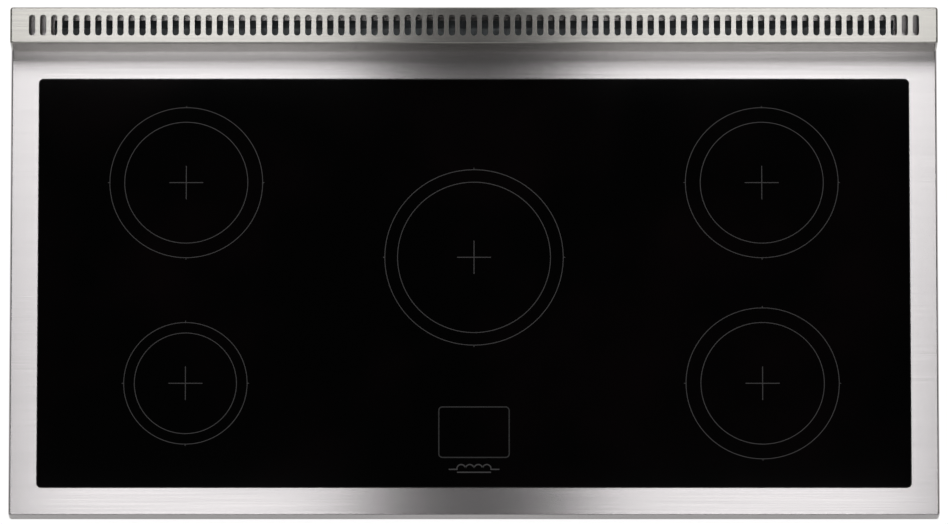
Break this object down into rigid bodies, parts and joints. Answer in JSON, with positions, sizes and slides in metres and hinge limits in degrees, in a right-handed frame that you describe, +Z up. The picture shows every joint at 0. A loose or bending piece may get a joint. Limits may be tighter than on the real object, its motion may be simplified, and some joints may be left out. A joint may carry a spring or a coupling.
{
  "type": "induction cooktop",
  "caption": "Wide black glass induction hob top in a brushed steel frame, with a raised slotted vent grille along the rear and sprung coils underneath.",
  "frame": {"origin": "centre of the footprint, on the underside of the base tray", "axes": "+X to the right along the long side, +Y from the cook to the rear, +Z up out of the glass"},
  "size_m": [1.092, 0.598, 0.1166],
  "materials": {
    "black_glass_ceramic": "polished black glass ceramic, thin grey printed marks",
    "black_silicone": "smooth matt silicone bead",
    "brushed_stainless": "brushed along X, satin",
    "galvanised_steel": "galvanised sheet, faint spangle",
    "grey_foam": "closed-cell foam strip",
    "aluminium": "mill finish",
    "ferrite": "matt sintered ferrite",
    "litz_copper": "enamelled copper litz, satin",
    "mica": "pressed mica sheet, slightly pearly",
    "sensor_ceramic": "white glazed sensor cap",
    "spring_steel": "tempered strip",
    "green_board": "glass-epoxy board with green solder mask",
    "black_epoxy": "moulded epoxy",
    "choke_winding": "enamelled wire on a ring core",
    "capacitor_case": "moulded box capacitor",
    "black_plastic": "moulded glass-filled plastic, fine texture",
    "terminal_plastic": "moulded pale plastic",
    "wire_insulation": "silicone insulation",
    "zinc_plated_steel": "bright zinc plating"
  },
  "bodies": {
    "hob": {"base_tray": "galvanised_steel", "centre_bow_springs": "spring_steel", "centre_coil_deck": "aluminium", "ceramic_glass": "black_glass_ceramic", "control_wires": "wire_insulation", "cord_inlet": "black_plastic", "display_board": "green_board", "display_holder": "black_plastic", "film_capacitors": "capacitor_case", "filter_board": "green_board", "filter_chokes": "choke_winding", "frame_nuts": "zinc_plated_steel", "front_left_bow_springs": "spring_steel", "front_right_bow_springs": "spring_steel", "glass_seal": "black_silicone", "hob_frame": "brushed_stainless", "left_coil_deck": "aluminium", "left_fan_housing": "black_plastic", "left_heatsink": "aluminium", "left_power_board": "green_board", "power_transistors": "black_epoxy", "rear_air_duct": "galvanised_steel", "rear_left_bow_springs": "spring_steel", "rear_right_bow_springs": "spring_steel", "right_coil_deck": "aluminium", "right_fan_housing": "black_plastic", "right_heatsink": "aluminium", "right_power_board": "green_board", "supply_wires": "wire_insulation", "tapping_screws": "zinc_plated_steel", "terminal_block": "terminal_plastic", "tray_gasket": "grey_foam", "vent_grille": "brushed_stainless"},
    "front_left_coil": {"front_left_coil_carrier": "aluminium", "front_left_ferrite_bars": "ferrite", "front_left_litz_coil": "litz_copper", "front_left_mica_disc": "mica", "front_left_temperature_sensor": "sensor_ceramic"},
    "front_right_coil": {"front_right_coil_carrier": "aluminium", "front_right_ferrite_bars": "ferrite", "front_right_litz_coil": "litz_copper", "front_right_mica_disc": "mica", "front_right_temperature_sensor": "sensor_ceramic"},
    "rear_left_coil": {"rear_left_coil_carrier": "aluminium", "rear_left_ferrite_bars": "ferrite", "rear_left_litz_coil": "litz_copper", "rear_left_mica_disc": "mica", "rear_left_temperature_sensor": "sensor_ceramic"},
    "rear_right_coil": {"rear_right_coil_carrier": "aluminium", "rear_right_ferrite_bars": "ferrite", "rear_right_litz_coil": "litz_copper", "rear_right_mica_disc": "mica", "rear_right_temperature_sensor": "sensor_ceramic"},
    "centre_coil": {"centre_coil_carrier": "aluminium", "centre_ferrite_bars": "ferrite", "centre_litz_coil": "litz_copper", "centre_mica_disc": "mica", "centre_temperature_sensor": "sensor_ceramic"},
    "left_rotor": {"left_fan_rotor": "black_plastic"},
    "right_rotor": {"right_fan_rotor": "black_plastic"}
  },
  "joints": [
    {"name": "front_left_coil_travel", "type": "slide", "parent": "hob", "child": "front_left_coil", "axis": [0, 0, 1], "range_m": [-0.003, 0], "stiffness_N_per_m": 4000, "springref_m": 0.008, "deforming": ["front_left_bow_springs"]},
    {"name": "front_right_coil_travel", "type": "slide", "parent": "hob", "child": "front_right_coil", "axis": [0, 0, 1], "range_m": [-0.003, 0], "stiffness_N_per_m": 4000, "springref_m": 0.008, "deforming": ["front_right_bow_springs"]},
    {"name": "rear_left_coil_travel", "type": "slide", "parent": "hob", "child": "rear_left_coil", "axis": [0, 0, 1], "range_m": [-0.003, 0], "stiffness_N_per_m": 4000, "springref_m": 0.008, "deforming": ["rear_left_bow_springs"]},
    {"name": "rear_right_coil_travel", "type": "slide", "parent": "hob", "child": "rear_right_coil", "axis": [0, 0, 1], "range_m": [-0.003, 0], "stiffness_N_per_m": 4000, "springref_m": 0.008, "deforming": ["rear_right_bow_springs"]},
    {"name": "centre_coil_travel", "type": "slide", "parent": "hob", "child": "centre_coil", "axis": [0, 0, 1], "range_m": [-0.003, 0], "stiffness_N_per_m": 4000, "springref_m": 0.008, "deforming": ["centre_bow_springs"]},
    {"name": "left_fan_spin", "type": "hinge", "parent": "hob", "child": "left_rotor", "pos_m": [-0.339, -0.20675, 0.0148], "axis": [0, 0, 1], "continuous": true},
    {"name": "right_fan_spin", "type": "hinge", "parent": "hob", "child": "right_rotor", "pos_m": [0.339, -0.20675, 0.0148], "axis": [0, 0, 1], "continuous": true}
  ]
}
